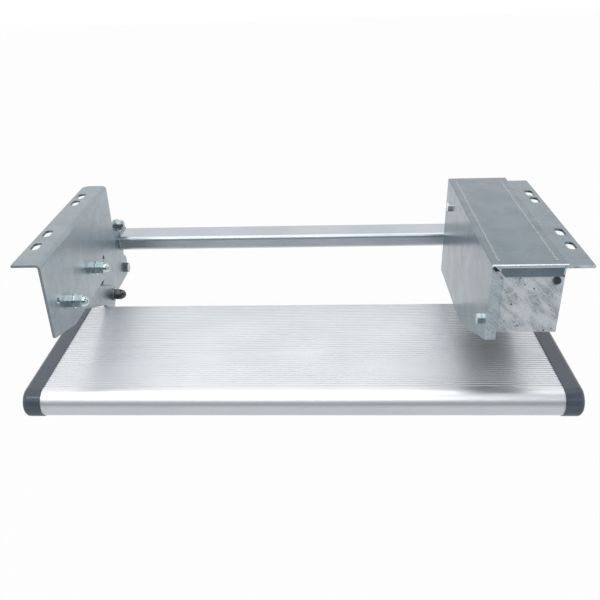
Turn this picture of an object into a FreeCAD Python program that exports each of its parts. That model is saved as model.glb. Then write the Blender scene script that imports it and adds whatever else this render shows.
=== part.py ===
import FreeCAD, Part

import os
import re
import Sketcher
from FreeCAD import Placement, Rotation, Vector

# Electric entry step, stowed under the floor that it hangs from.
# X runs along the tread, Y from the doorway towards the chassis, Z up. The origin lies on the
# mounting plane, midway between the two brackets, in line with the left bracket's front edge.

SIZES = {
    # Brackets: a folded sheet each side, hung from its top flange.
    "plate_span": 498,
    "flange_width": 26,
    "gauge": 2.5,
    "fold": 2,
    "left_length": 241,
    "plate_depth": 99,
    "front_depth": 82,
    "slope_run": 60,
    "right_lead": 15,
    "right_rear": 240,
    "right_flange_rear": 233,
    "flange_corner": 8,
    "slot_inset": 8.5,
    "slot_width": 8.5,
    "slot_length": 18,
    "slot_outer_front": 47,
    "slot_inner_front": 82,
    "slot_inner_rear": 178,
    "slot_outer_rear": 202,
    "spare_hole": 8.5,
    "spare_front_run": 25.5,
    "spare_front_drop": 53,
    "spare_rear_run": 186,
    "spare_rear_drop": 76,
    # Drive housing: faces folded from the right bracket and a cover over them.
    "housing_width": 67,
    "face_depth": 69,
    "face_inset": 5,
    "tab_front": 29,
    "tab_rear": 48,
    "tab_top": 12,
    "tab_depth": 74,
    "cover_gauge": 1.5,
    "cover_fold": 1.4,
    "cover_rise": 0.3,
    "cover_overlap": 2,
    "cover_depth": 121,
    "cover_front_depth": 75,
    "cover_slope_run": 113,
    "front_lip": 10,
    "side_lip": 11,
    "bottom_lip": 9,
    "bead_inset": 8,
    "bead_width": 1.6,
    "bead_rise": 0.5,
    "bead_margin": 12,
    "screw_front_run": 5,
    "screw_front_drop": 65,
    "screw_rear_run": 210,
    "screw_rear_drop": 24,
    "rivet_inset": 7,
    "rivet_drop": 14.5,
    "rivet_rise": 1.4,
    "rivet_head_radius": 3.8,
    "rivet_stem_radius": 2,
    # Linkage: two equal arms a side, which keep the tread level.
    "front_pivot": 55,
    "pivot_spacing": 85,
    "pivot_drop": 67.5,
    "arm_run": 158,
    "arm_fall": 72,
    "arm_width": 25,
    "arm_gauge": 5,
    "hanger_gauge": 4,
    "side_gap": 0.3,
    "collar": 1.2,
    "collar_outer": 18,
    "bush_outer": 12,
    "run_clearance": 0.05,
    "thread_clearance": 0.05,
    "hole_clearance": 0.2,
    # Tread: a ribbed hollow extrusion with moulded ends.
    "tread_overhang": 24,
    "tread_drop": 145,
    "tread_thickness": 31.5,
    "tread_nose": 1.5,
    "tread_rear": 189.5,
    "tread_wall": 2.5,
    "tread_top_wall": 3.4,
    "chamber_count": 4,
    "groove_count": 46,
    "groove_margin": 4,
    "groove_width": 1.5,
    "groove_deep": 0.9,
    "channel_wall": 2.4,
    "cap_width": 20,
    "cap_proud": 0.8,
    "cap_round": 5,
    "plug_length": 14,
    "plug_gap": 0.3,
    # Hangers: the plates that carry the tread and the cross tube.
    "hanger_clearance": 4.5,
    "hanger_rim": 4,
    "neck_rise": 22.5,
    "foot_margin": 10,
    "foot_tail": 31.5,
    "foot_width": 35,
    "stud_behind": 49.5,
    "stud_drop": 72,
    "lobe_margin": 7.5,
    "lobe_length": 25,
    "foot_bolt_inset": 14,
    "tube_behind": 47,
    "tube_drop": 89.5,
    "tube_deep": 40,
    "tube_high": 20,
    "tube_wall": 2,
    "tube_corner": 6,
    # Fasteners.
    "bolt": 8,
    "flats": 13,
    "head": 5.3,
    "thread_end": 2,
    "nut": 6.5,
    "thin_nut": 5,
    "dome_nut": 15,
    "dome_radius": 6,
    "dome_skirt": 8.5,
    "dome_bore": 11,
    "dome_thread": 9,
    "washer": 1.6,
    "washer_outer": 16,
    "small_bolt": 6,
    "small_flats": 10,
    "small_head": 4,
    "small_nut": 5,
    # Drive.
    "shaft": 12,
    "shaft_bush": 16,
    "bush_seat": 8,
    "gear_radius": 33,
    "gear_deep": 38,
    "worm_offset": 30,
    "worm_radius": 17,
    "worm_reach": 26,
    "motor_radius": 19,
    "motor_inset": 26,
    "motor_start": 94,
    "motor_length": 78,
    "motor_cap": 6,
    "lug_radius": 8,
    "lug_circle": 39,
    "lug_deep": 7,
    "grommet_outer": 18,
    "grommet_waist": 13,
    "grommet_bore": 8,
    "grommet_inset": 33,
    "grommet_drop": 52,
}

doc = FreeCAD.newDocument("EntryStep")
sheet = doc.addObject("Spreadsheet::Sheet", "Sizes")
for row, (alias, amount) in enumerate(SIZES.items(), start=1):
    sheet.set(f"A{row}", alias)
    sheet.set(f"B{row}", str(amount))
    sheet.setAlias(f"B{row}", alias)
doc.recompute()

WORDS = re.compile(r"\b(" + "|".join(sorted(SIZES, key=len, reverse=True)) + r")\b")


def linked(text):
    """The expression with every size named in it looked up in the sheet."""
    return WORDS.sub(r"Sizes.\1", str(text))


def amount_of(text):
    """What the expression comes to now."""
    return float(sheet.evalExpression(str(text)))


def bind(thing, **links):
    """Tie properties to expressions; at_x, at_y and at_z place the object."""
    for name, text in links.items():
        place = {"at_x": "Placement.Base.x", "at_y": "Placement.Base.y", "at_z": "Placement.Base.z"}
        thing.setExpression(place.get(name, name), linked(text))
    return thing


# Distances out from the middle, face by face, through the stack on each side.
PLATE_OUT = "(plate_span / 2)"
PLATE_IN = "(plate_span / 2 - gauge)"
COLLAR_END = "(plate_span / 2 + collar)"
FRONT_ARM_IN = "(plate_span / 2 + collar + side_gap)"
FRONT_ARM_OUT = f"({FRONT_ARM_IN} + arm_gauge)"
HANGER_IN = f"({FRONT_ARM_OUT} + side_gap)"
HANGER_OUT = f"({HANGER_IN} + hanger_gauge)"
REAR_ARM_IN = f"({HANGER_OUT} + side_gap)"
REAR_ARM_OUT = f"({REAR_ARM_IN} + arm_gauge)"
REAR_STACK_OUT = f"({REAR_ARM_OUT} + side_gap)"
FLANGE_OUT = "(plate_span / 2 + flange_width)"
COVER_IN = "(plate_span / 2 - housing_width)"
TREAD_END = "(plate_span / 2 + tread_overhang)"
TREAD_LENGTH = f"(2 * {TREAD_END})"

# Pivot centres, as Y and Z.
FRONT_PIVOT = ("front_pivot", "-pivot_drop")
REAR_PIVOT = ("(front_pivot + pivot_spacing)", "-pivot_drop")
FRONT_LINK = ("(front_pivot + arm_run)", "(-pivot_drop - arm_fall)")
REAR_LINK = ("(front_pivot + pivot_spacing + arm_run)", "(-pivot_drop - arm_fall)")
STUD = ("(left_length + stud_behind)", "-stud_drop")
TUBE_FRONT = "(left_length + tube_behind)"
TUBE_REAR = f"({TUBE_FRONT} + tube_deep)"

TREAD_TOP = "(-tread_drop)"
TREAD_BOTTOM = "(-tread_drop - tread_thickness)"
FOOT_BOTTOM = "(-tread_drop - tread_thickness - hanger_gauge)"
CHAMBER_PITCH = "((tread_rear - tread_nose) / chamber_count)"
CHANNELS = [f"(tread_nose + {CHAMBER_PITCH} * {place})" for place in (1.5, 3.5)]
HANGER_FRONT = "(tread_rear + hanger_clearance)"
FOOT_FRONT = f"({CHANNELS[0]} - foot_margin)"
FOOT_REAR = f"({HANGER_FRONT} + foot_tail)"
HEAD_ROOM = "(small_flats + 3 * hole_clearance)"
CHANNEL_HEIGHT = "(small_head + 1)"
FOOT_BOLT_X = f"({HANGER_IN} - foot_bolt_inset)"
GROMMET = (f"({PLATE_OUT} - grommet_inset)", "-grommet_drop")
RIVET = (f"({PLATE_OUT} - rivet_inset)", "-rivet_drop")


def new_body(label):
    body = doc.addObject("PartDesign::Body", label)
    body.Label = label
    return body


def new_sketch(body, plane, offset):
    """An empty sketch on the body's own XY, XZ or YZ plane, moved along the plane's normal."""
    sketch = body.newObject("Sketcher::SketchObject", body.Name + "_sketch")
    support = [feature for feature in body.Origin.OriginFeatures if feature.Role == plane + "_Plane"]
    sketch.AttachmentSupport = [(support[0], "")]
    sketch.MapMode = "FlatFace"
    sketch.setExpression("AttachmentOffset.Base.z", linked(offset))
    return sketch


def fix_point(sketch, item, end, point):
    """Hold one point of the sketch at two expressions."""
    for kind, text in zip(("DistanceX", "DistanceY"), point):
        index = sketch.addConstraint(Sketcher.Constraint(kind, -1, 1, item, end, amount_of(text)))
        sketch.setExpression(f"Constraints[{index}]", linked(text))


def draw_outline(sketch, points):
    """A closed outline with straight sides."""
    corners = [Vector(amount_of(u), amount_of(v), 0) for u, v in points]
    count = len(corners)
    first = sketch.GeometryCount
    for index in range(count):
        sketch.addGeometry(Part.LineSegment(corners[index], corners[(index + 1) % count]))
    for index in range(count):
        following = first + (index + 1) % count
        sketch.addConstraint(Sketcher.Constraint("Coincident", first + index, 2, following, 1))
        fix_point(sketch, first + index, 1, points[index])


def rectangle(low_u, high_u, low_v, high_v):
    return [(low_u, low_v), (high_u, low_v), (high_u, high_v), (low_u, high_v)]


def draw_circle(sketch, centre, radius):
    spot = Vector(amount_of(centre[0]), amount_of(centre[1]), 0)
    item = sketch.addGeometry(Part.Circle(spot, Vector(0, 0, 1), amount_of(radius)))
    fix_point(sketch, item, 3, centre)
    index = sketch.addConstraint(Sketcher.Constraint("Radius", item, amount_of(radius)))
    sketch.setExpression(f"Constraints[{index}]", linked(radius))


def draw_oblong(sketch, start, finish, radius):
    """A straight slot outline: two half circles about the two centres, joined by tangents."""
    tail = Vector(amount_of(start[0]), amount_of(start[1]), 0)
    tip = Vector(amount_of(finish[0]), amount_of(finish[1]), 0)
    reach = amount_of(radius)
    along = (tip - tail).normalize()
    across = Vector(-along.y, along.x, 0) * reach
    rear_arc = Part.Arc(tail + across, tail - along * reach, tail - across)
    front_arc = Part.Arc(tip - across, tip + along * reach, tip + across)
    arcs = [sketch.addGeometry(arc) for arc in (rear_arc, front_arc)]
    lower = sketch.addGeometry(Part.LineSegment(tail - across, tip - across))
    upper = sketch.addGeometry(Part.LineSegment(tip + across, tail + across))
    for item, end, other, other_end in ((arcs[0], 2, lower, 1), (lower, 2, arcs[1], 1),
                                        (arcs[1], 2, upper, 1), (upper, 2, arcs[0], 1)):
        sketch.addConstraint(Sketcher.Constraint("Tangent", item, end, other, other_end))
    fix_point(sketch, arcs[0], 3, start)
    fix_point(sketch, arcs[1], 3, finish)
    index = sketch.addConstraint(Sketcher.Constraint("Radius", arcs[0], reach))
    sketch.setExpression(f"Constraints[{index}]", linked(radius))


def raise_pad(body, sketch, length, backwards=False):
    pad = body.newObject("PartDesign::Pad", body.Name + "_pad")
    pad.Profile = sketch
    pad.Reversed = backwards
    bind(pad, Length=length)
    sketch.Visibility = False
    return pad


def cut_through(body, sketch):
    pocket = body.newObject("PartDesign::Pocket", body.Name + "_cut")
    pocket.Profile = sketch
    pocket.Type = "ThroughAll"
    pocket.Midplane = True
    return pocket


def cut_depth(body, sketch, depth, backwards=False):
    pocket = body.newObject("PartDesign::Pocket", body.Name + "_cut")
    pocket.Profile = sketch
    pocket.Reversed = backwards
    bind(pocket, Length=depth)
    return pocket


def plate(body, plane, points, offset, thickness, backwards=False):
    """One flat wall of a sheet part."""
    sketch = new_sketch(body, plane, offset)
    draw_outline(sketch, points)
    return raise_pad(body, sketch, thickness, backwards)


def straight_edges(shape, axis, passes):
    """Names of the straight edges along an axis whose middle passes the test."""
    names = []
    for index, edge in enumerate(shape.Edges, start=1):
        if edge.Curve.TypeId != "Part::GeomLine":
            continue
        direction = edge.tangentAt(edge.FirstParameter)
        if abs(abs(getattr(direction, axis)) - 1) > 1e-6:
            continue
        if passes(edge.CenterOfMass):
            names.append(f"Edge{index}")
    return names


def round_edges(body, axis, passes, radius):
    """Round the chosen straight edges of the body as it stands."""
    doc.recompute()
    tip = body.Tip
    names = straight_edges(tip.Shape, axis, passes)
    if not names:
        raise RuntimeError(f"no edge to round on {body.Label}")
    fillet = body.newObject("PartDesign::Fillet", body.Name + "_round")
    fillet.Base = (tip, names)
    bind(fillet, Radius=radius)
    return fillet


def near(amount, text):
    return abs(amount - amount_of(text)) < 0.01


# Turned and hexagonal pieces lie along X; side is 1 for the right and -1 for the left, and
# start and finish are distances out from the middle.

def rod(label, side, start, finish, centre, radius):
    piece = doc.addObject("Part::Cylinder", label)
    piece.Placement = Placement(Vector(), Rotation(Vector(0, 1, 0), 90 * side))
    return bind(piece, Radius=radius, Height=f"{finish} - ({start})", at_x=f"{side} * ({start})",
                at_y=centre[0], at_z=centre[1])


def hexagon(label, side, start, finish, centre, across):
    piece = doc.addObject("Part::Prism", label)
    piece.Polygon = 6
    piece.Placement = Placement(Vector(), Rotation(Vector(0, 1, 0), 90 * side))
    return bind(piece, Circumradius=f"({across}) / 2 / cos(30)", Height=f"{finish} - ({start})",
                at_x=f"{side} * ({start})", at_y=centre[0], at_z=centre[1])


def joined(label, pieces):
    fuse = doc.addObject("Part::MultiFuse", label)
    fuse.Shapes = pieces
    fuse.Refine = False
    return fuse


def without(label, base, tools):
    cut = doc.addObject("Part::Cut", label)
    cut.Base = base
    cut.Tool = tools[0] if len(tools) == 1 else joined(label + "_tools", tools)
    cut.Refine = False
    return cut


def group(label, pieces):
    """Separate like pieces that share one node."""
    compound = doc.addObject("Part::Compound", label)
    compound.Links = pieces
    compound.Label = label
    return compound


def mirrored(label, source):
    """The other side's copy of a handed piece."""
    copy = doc.addObject("Part::Mirroring", label)
    copy.Source = source
    copy.Normal = Vector(1, 0, 0)
    copy.Label = label
    return copy


def hex_bolt(label, side, under_head, tip, centre):
    """Head outboard of under_head, shank inboard down to tip."""
    cap = hexagon(label + "_head", side, under_head, f"{under_head} + head", centre, "flats")
    shank = rod(label + "_shank", side, tip, f"{under_head} + head / 2", centre, "bolt / 2")
    return joined(label, [cap, shank])


def outward_bolt(label, side, under_head, tip, centre):
    """Head inboard of under_head, shank outboard to tip."""
    cap = hexagon(label + "_head", side, f"{under_head} - head", under_head, centre, "flats")
    shank = rod(label + "_shank", side, f"{under_head} - head / 2", tip, centre, "bolt / 2")
    return joined(label, [cap, shank])


def flat_washer(label, side, start, centre):
    disc = rod(label + "_disc", side, start, f"{start} + washer", centre, "washer_outer / 2")
    bore = rod(label + "_bore", side, f"{start} - 1", f"{start} + washer + 1", centre,
               "bolt / 2 + hole_clearance")
    return without(label, disc, [bore])


def hex_nut(label, side, start, finish, centre):
    block = hexagon(label + "_block", side, start, finish, centre, "flats")
    bore = rod(label + "_bore", side, f"{start} - 1", f"{finish} + 1", centre, "bolt / 2 + thread_clearance")
    return without(label, block, [bore])


def dome_nut(label, side, seat, centre):
    """A cap nut that faces the middle: hexagon on the seat, then a round dome."""
    skirt_end = f"({seat} - dome_skirt)"
    crown = f"({seat} - dome_nut + dome_radius)"
    skirt = hexagon(label + "_skirt", side, skirt_end, seat, centre, "flats")
    neck = rod(label + "_neck", side, crown, seat, centre, "dome_radius")
    ball = doc.addObject("Part::Sphere", label + "_ball")
    bind(ball, Radius="dome_radius", at_x=f"{side} * {crown}", at_y=centre[0], at_z=centre[1])
    bore = rod(label + "_bore", side, f"{seat} - dome_bore", f"{seat} + 1", centre,
               "bolt / 2 + thread_clearance")
    return without(label, joined(label + "_body", [skirt, neck, ball]), [bore])


# Brackets

def flange_slots(body, front):
    """Four fixing slots through the top flange, measured back from its front edge."""
    side = 1 if body.Label.startswith("right") else -1
    sketch = new_sketch(body, "XY", "0")
    for run in ("slot_outer_front", "slot_inner_front", "slot_inner_rear", "slot_outer_rear"):
        across = f"{side} * ({FLANGE_OUT} - slot_inset)"
        half = "(slot_length - slot_width) / 2"
        draw_oblong(sketch, (across, f"{front} + {run} - {half}"), (across, f"{front} + {run} + {half}"),
                    "slot_width / 2")
    cut_through(body, sketch)


def web_outline(front, rear, front_depth):
    """The left web; its lower front corner is cut back on a slope."""
    return [(front, "0"), (rear, "0"), (rear, "-plate_depth"), (f"{front} + slope_run", "-plate_depth"),
            (front, f"-{front_depth}")]


def round_top_fold(body, side):
    """Bend radii where the web turns out into the flange."""
    round_edges(body, "y", lambda spot: near(spot.x, f"{side} * {PLATE_OUT}") and near(spot.z, "-gauge"),
                "fold")
    round_edges(body, "y", lambda spot: near(spot.x, f"{side} * {PLATE_IN}") and near(spot.z, "0"),
                "fold + gauge")


def left_bracket():
    body = new_body("left_bracket")
    plate(body, "YZ", web_outline("0", "left_length", "front_depth"), f"-{PLATE_OUT}", "gauge")
    plate(body, "XY", rectangle(f"-{FLANGE_OUT}", f"-{PLATE_IN}", "0", "left_length"), "-gauge", "gauge")
    round_top_fold(body, -1)
    round_edges(body, "z", lambda spot: near(spot.x, f"-{FLANGE_OUT}") and near(spot.y, "left_length"),
                "flange_corner")
    round_edges(body, "x", lambda spot: spot.z < -1.5 * amount_of("gauge"), "gauge")
    flange_slots(body, "0")
    sketch = new_sketch(body, "YZ", f"-{PLATE_OUT}")
    draw_circle(sketch, FRONT_PIVOT, "bolt / 2 + hole_clearance")
    draw_circle(sketch, REAR_PIVOT, "bolt / 2 + hole_clearance")
    draw_circle(sketch, ("spare_front_run", "-spare_front_drop"), "spare_hole / 2")
    draw_circle(sketch, ("spare_rear_run", "-spare_rear_drop"), "spare_hole / 2")
    cut_through(body, sketch)
    return body


def right_bracket():
    """The right web also folds in at both ends, to close the housing, with a tab on each face."""
    body = new_body("right_bracket")
    front = "(-right_lead)"
    face_end = f"({COVER_IN} + cover_gauge + hole_clearance)"
    web = web_outline(front, "right_rear", "face_depth")
    web[1:2] = [("right_flange_rear", "0"), ("right_flange_rear", "-face_inset"),
                ("right_rear", "-face_inset")]
    plate(body, "YZ", web, PLATE_IN, "gauge")
    plate(body, "XY", rectangle(PLATE_IN, FLANGE_OUT, front, "right_flange_rear"), "-gauge", "gauge")
    round_top_fold(body, 1)
    round_edges(body, "z", lambda spot: near(spot.x, FLANGE_OUT) and near(spot.y, "right_flange_rear"),
                "fold")
    plate(body, "XZ", rectangle(face_end, PLATE_OUT, "-face_depth", "-face_inset"), "-right_rear", "gauge")
    plate(body, "XZ", rectangle(face_end, PLATE_OUT, "-face_depth", "-face_inset"), "right_lead", "gauge",
          True)
    plate(body, "YZ", rectangle(front, f"{front} + tab_front", "-tab_depth", "-tab_top"), face_end, "gauge")
    plate(body, "YZ", rectangle("right_rear - tab_rear", "right_rear", "-face_depth", "-tab_top"), face_end,
          "gauge")
    round_edges(body, "z", lambda spot: near(spot.x, face_end) and
                (near(spot.y, front) or near(spot.y, "right_rear")), "fold")
    flange_slots(body, front)
    sketch = new_sketch(body, "YZ", PLATE_IN)
    draw_circle(sketch, FRONT_PIVOT, "shaft_bush / 2 + thread_clearance")
    cut_depth(body, sketch, "2 * gauge", True)
    sketch = new_sketch(body, "YZ", PLATE_IN)
    draw_circle(sketch, REAR_PIVOT, "bolt / 2 + hole_clearance")
    for spot in lug_spots():
        draw_circle(sketch, spot, "small_bolt / 2 + thread_clearance")
    cut_depth(body, sketch, "2 * gauge", True)
    sketch = new_sketch(body, "YZ", face_end)
    for spot in cover_screw_spots():
        draw_circle(sketch, spot, "small_bolt / 2 + thread_clearance")
    cut_depth(body, sketch, "2 * gauge", True)
    sketch = new_sketch(body, "XZ", "-right_rear")
    draw_circle(sketch, GROMMET, "grommet_waist / 2 + thread_clearance")
    cut_depth(body, sketch, "2 * gauge", True)
    sketch = new_sketch(body, "XZ", "right_lead")
    draw_circle(sketch, RIVET, "rivet_stem_radius + thread_clearance")
    cut_depth(body, sketch, "2 * gauge")
    return body


def cover_screw_spots():
    return [("screw_front_run", "-screw_front_drop"), ("screw_rear_run", "-screw_rear_drop")]


def lug_spots():
    """Three screw lugs round the gear case, clear of the worm housing and the web's sloped edge."""
    return [(f"front_pivot + lug_circle * cos({angle})", f"-pivot_drop + lug_circle * sin({angle})")
            for angle in (150, 195, 330)]


def housing_cover():
    """A lighter sheet over the top and inner side, with lips that lap the front face."""
    body = new_body("housing_cover")
    front = "(-right_lead - cover_gauge)"
    top = "(cover_rise + cover_gauge)"
    right_edge = f"({PLATE_OUT} + cover_overlap)"
    lip_end = f"({PLATE_OUT} - fold)"
    lip_low = "(-cover_front_depth - cover_gauge)"
    side = [("-right_lead", top), ("right_rear", top), ("right_rear", "-cover_depth"),
            (f"{front} + cover_slope_run", "-cover_depth"), ("-right_lead", lip_low)]
    plate(body, "YZ", side, COVER_IN, "cover_gauge")
    plate(body, "XY", rectangle(COVER_IN, right_edge, front, "right_rear"), "cover_rise", "cover_gauge")
    upper_lip = [(f"{COVER_IN} + cover_gauge", top), (lip_end, top), (lip_end, "-front_lip"),
                 (f"{COVER_IN} + cover_gauge + side_lip", "-front_lip")]
    plate(body, "XZ", upper_lip, "right_lead", "cover_gauge")
    round_edges(body, "x", lambda spot: near(spot.y, front) and near(spot.z, top), "cover_fold")
    side_end = f"({COVER_IN} + side_lip)"
    lower_lip = [(COVER_IN, "-cover_gauge"), (side_end, "-front_lip - cover_gauge"), (side_end, lip_low),
                 (COVER_IN, lip_low)]
    plate(body, "XZ", lower_lip, "right_lead", "cover_gauge")
    plate(body, "XY", rectangle(COVER_IN, f"{COVER_IN} + bottom_lip", f"{front} + cover_slope_run",
                                "right_rear"), "-cover_depth", "cover_gauge")
    round_edges(body, "y", lambda spot: near(spot.x, COVER_IN) and near(spot.z, top), "cover_fold")
    sketch = new_sketch(body, "XY", top)
    for across in (f"{COVER_IN} + bead_inset", f"{right_edge} - bead_inset"):
        draw_oblong(sketch, (across, f"{front} + bead_margin"), (across, "right_rear - bead_margin"),
                    "bead_width / 2")
    raise_pad(body, sketch, "bead_rise")
    sketch = new_sketch(body, "YZ", COVER_IN)
    for spot in cover_screw_spots():
        draw_circle(sketch, spot, "small_bolt / 2 + hole_clearance")
    cut_depth(body, sketch, "2 * cover_gauge", True)
    return body


# Linkage

def arm(label, start, finish, outer_face):
    """A flat bar with round ends, bored to turn on its bushes."""
    body = new_body(label)
    sketch = new_sketch(body, "YZ", f"-{outer_face}")
    draw_oblong(sketch, start, finish, "arm_width / 2")
    raise_pad(body, sketch, "arm_gauge")
    sketch = new_sketch(body, "YZ", f"-{outer_face}")
    for centre in (start, finish):
        draw_circle(sketch, centre, "bush_outer / 2 + run_clearance")
    cut_through(body, sketch)
    return body


def left_hanger():
    """The web carries both link pivots, the tube and a stud; its foot runs on under the tread."""
    body = new_body("left_hanger")
    link_rear, link_level = REAR_LINK
    lobe = "(arm_width / 2)"
    stud_top = "(-stud_drop + lobe_margin)"
    stud_run = STUD[0]
    web = [(HANGER_FRONT, FOOT_BOTTOM), (HANGER_FRONT, f"{link_level} + neck_rise"),
           (f"{stud_run} - lobe_length", stud_top), (f"{stud_run} + lobe_margin", stud_top),
           (f"{stud_run} + lobe_margin", "-tube_drop + hanger_rim"),
           (f"{TUBE_REAR} + hanger_rim", "-tube_drop"),
           (f"{TUBE_REAR} + hanger_rim", "-tube_drop - tube_high - hanger_rim"),
           (f"{TUBE_FRONT} + hanger_rim", f"{link_level} + {lobe} + 3 * hanger_rim"),
           (f"{link_rear} + {lobe}", f"{link_level} + {lobe}"),
           (f"{link_rear} + {lobe}", f"{link_level} - {lobe}"),
           (f"{FOOT_REAR} + {lobe}", f"{link_level} - {lobe}"),
           (FOOT_REAR, f"{link_level} - arm_width"), (FOOT_REAR, FOOT_BOTTOM)]
    plate(body, "YZ", web, f"-{HANGER_OUT}", "hanger_gauge")
    plate(body, "XY", rectangle(f"-{HANGER_OUT}", f"-{HANGER_OUT} + foot_width", FOOT_FRONT, FOOT_REAR),
          FOOT_BOTTOM, "hanger_gauge")
    for corners, radius in ((web[2:4], "lobe_margin"), (web[8:10], f"{lobe} - hanger_rim")):
        for run, level in corners:
            round_edges(body, "x", lambda spot: near(spot.y, run) and near(spot.z, level), radius)
    for run, level in (web[1], web[5], web[6], web[7], web[10], web[11]):
        round_edges(body, "x", lambda spot: near(spot.y, run) and near(spot.z, level), "hanger_rim")
    round_edges(body, "y", lambda spot: near(spot.x, f"-{HANGER_OUT}") and near(spot.z, FOOT_BOTTOM), "fold")
    round_edges(body, "z", lambda spot: near(spot.y, FOOT_FRONT), "fold")
    sketch = new_sketch(body, "YZ", f"-{HANGER_OUT}")
    for centre in (FRONT_LINK, REAR_LINK):
        draw_circle(sketch, centre, "bolt / 2 + hole_clearance")
    cut_through(body, sketch)
    sketch = new_sketch(body, "XY", FOOT_BOTTOM)
    for run in CHANNELS:
        draw_circle(sketch, (f"-{FOOT_BOLT_X}", run), "small_bolt / 2 + hole_clearance")
    cut_through(body, sketch)
    return body


def cross_tube():
    """A rounded box section welded between the hangers, which keeps both sides in step."""
    body = new_body("cross_tube")
    sketch = new_sketch(body, "YZ", f"-{HANGER_IN}")
    low = "(-tube_drop - tube_high)"
    draw_outline(sketch, rectangle(TUBE_FRONT, TUBE_REAR, low, "-tube_drop"))
    inside = (f"{TUBE_FRONT} + tube_wall", f"{TUBE_REAR} - tube_wall")
    draw_outline(sketch, rectangle(*inside, f"{low} + tube_wall", "-tube_drop - tube_wall"))
    raise_pad(body, sketch, f"2 * {HANGER_IN}")
    for run in (TUBE_FRONT, TUBE_REAR):
        round_edges(body, "x", lambda spot: near(spot.y, run), "tube_corner")
    for run in inside:
        round_edges(body, "x", lambda spot: near(spot.y, run), "tube_corner - tube_wall")
    return body


# Tread

def chambers():
    """The hollow spaces between the webs, front to back."""
    count = round(amount_of("chamber_count"))
    spaces = []
    for index in range(count):
        front = "tread_nose" if index == 0 else f"tread_nose + {CHAMBER_PITCH} * {index} + tread_wall / 2"
        rear = f"tread_nose + {CHAMBER_PITCH} * {index + 1} - tread_wall / 2"
        if index == count - 1:
            rear = "tread_rear - tread_wall"
        spaces.append((front, rear))
    return spaces


NOSE = ("tread_nose", "(-tread_drop - tread_thickness / 2)")
CHAMBER_LOW = f"({TREAD_BOTTOM} + tread_wall)"
CHAMBER_HIGH = f"({TREAD_TOP} - tread_top_wall)"


def tread():
    """One extrusion: grooved top, round nose, webs, and two bolt channels underneath."""
    body = new_body("tread")
    end = f"-{TREAD_END}"
    plate(body, "YZ", rectangle("tread_nose", "tread_rear", TREAD_BOTTOM, TREAD_TOP), end, TREAD_LENGTH)
    sketch = new_sketch(body, "YZ", end)
    draw_circle(sketch, NOSE, "tread_thickness / 2")
    raise_pad(body, sketch, TREAD_LENGTH)
    round_edges(body, "x", lambda spot: near(spot.y, "tread_rear"), "tread_wall / 2")
    sketch = new_sketch(body, "YZ", end)
    for front, rear in chambers():
        draw_outline(sketch, rectangle(front, rear, CHAMBER_LOW, CHAMBER_HIGH))
    cut_through(body, sketch)
    sketch = new_sketch(body, "YZ", end)
    draw_circle(sketch, NOSE, "tread_thickness / 2 - tread_top_wall")
    cut_through(body, sketch)
    for run in CHANNELS:
        half = f"({HEAD_ROOM} / 2 + channel_wall)"
        plate(body, "YZ", rectangle(f"{run} - {half}", f"{run} + {half}", TREAD_BOTTOM,
                                    f"{CHAMBER_LOW} + {CHANNEL_HEIGHT} + channel_wall"), end, TREAD_LENGTH)
    sketch = new_sketch(body, "YZ", end)
    for run in CHANNELS:
        draw_outline(sketch, rectangle(f"{run} - {HEAD_ROOM} / 2", f"{run} + {HEAD_ROOM} / 2", CHAMBER_LOW,
                                       f"{CHAMBER_LOW} + {CHANNEL_HEIGHT}"))
    cut_through(body, sketch)
    sketch = new_sketch(body, "YZ", end)
    for run in CHANNELS:
        half = "(small_bolt / 2 + hole_clearance)"
        draw_outline(sketch, rectangle(f"{run} - {half}", f"{run} + {half}", f"{TREAD_BOTTOM} - 1",
                                       f"{CHAMBER_LOW} + 1"))
    cut_through(body, sketch)
    sketch = new_sketch(body, "YZ", end)
    start = "(tread_nose + groove_margin)"
    draw_outline(sketch, rectangle(f"{start} - groove_width / 2", f"{start} + groove_width / 2",
                                   f"{TREAD_TOP} - groove_deep", f"{TREAD_TOP} + groove_deep"))
    groove = cut_through(body, sketch)
    grooves = body.newObject("PartDesign::LinearPattern", "tread_grooves")
    grooves.Originals = [groove]
    grooves.Direction = (sketch, ["H_Axis"])
    bind(grooves, Length="tread_rear - tread_nose - 2 * groove_margin", Occurrences="groove_count")
    body.Tip = grooves
    return body


def left_end_cap():
    """A moulded end, proud of the extrusion all round, with two tongues that press into it."""
    body = new_body("left_end_cap")
    start = f"(-{TREAD_END} - cap_width)"
    outline = rectangle("tread_nose", "tread_rear + cap_proud", f"{TREAD_BOTTOM} - cap_proud",
                        f"{TREAD_TOP} + cap_proud")
    plate(body, "YZ", outline, start, "cap_width")
    sketch = new_sketch(body, "YZ", start)
    draw_circle(sketch, NOSE, "tread_thickness / 2 + cap_proud")
    raise_pad(body, sketch, "cap_width")
    round_edges(body, "x", lambda spot: near(spot.y, "tread_rear + cap_proud"), "cap_round / 2")
    doc.recompute()
    tip = body.Tip
    rim = [f"Edge{index}" for index, edge in enumerate(tip.Shape.Edges, start=1)
           if near(edge.BoundBox.XMin, start) and near(edge.BoundBox.XMax, start)]
    fillet = body.newObject("PartDesign::Fillet", "left_end_cap_rim")
    fillet.Base = (tip, rim)
    bind(fillet, Radius="cap_round")
    sketch = new_sketch(body, "YZ", f"-{TREAD_END}")
    for front, rear in chambers()[::2]:
        draw_outline(sketch, rectangle(f"{front} + plug_gap", f"{rear} - plug_gap",
                                       f"{CHAMBER_LOW} + plug_gap", f"{CHAMBER_HIGH} - plug_gap"))
    raise_pad(body, sketch, "plug_length")
    return body


# Fasteners

def both_sides(maker, *places):
    """Like pieces on the left and the right."""
    return [maker(f"{name}_{word}", side, *rest) for word, side in (("left", -1), ("right", 1))
            for name, *rest in places]


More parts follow.
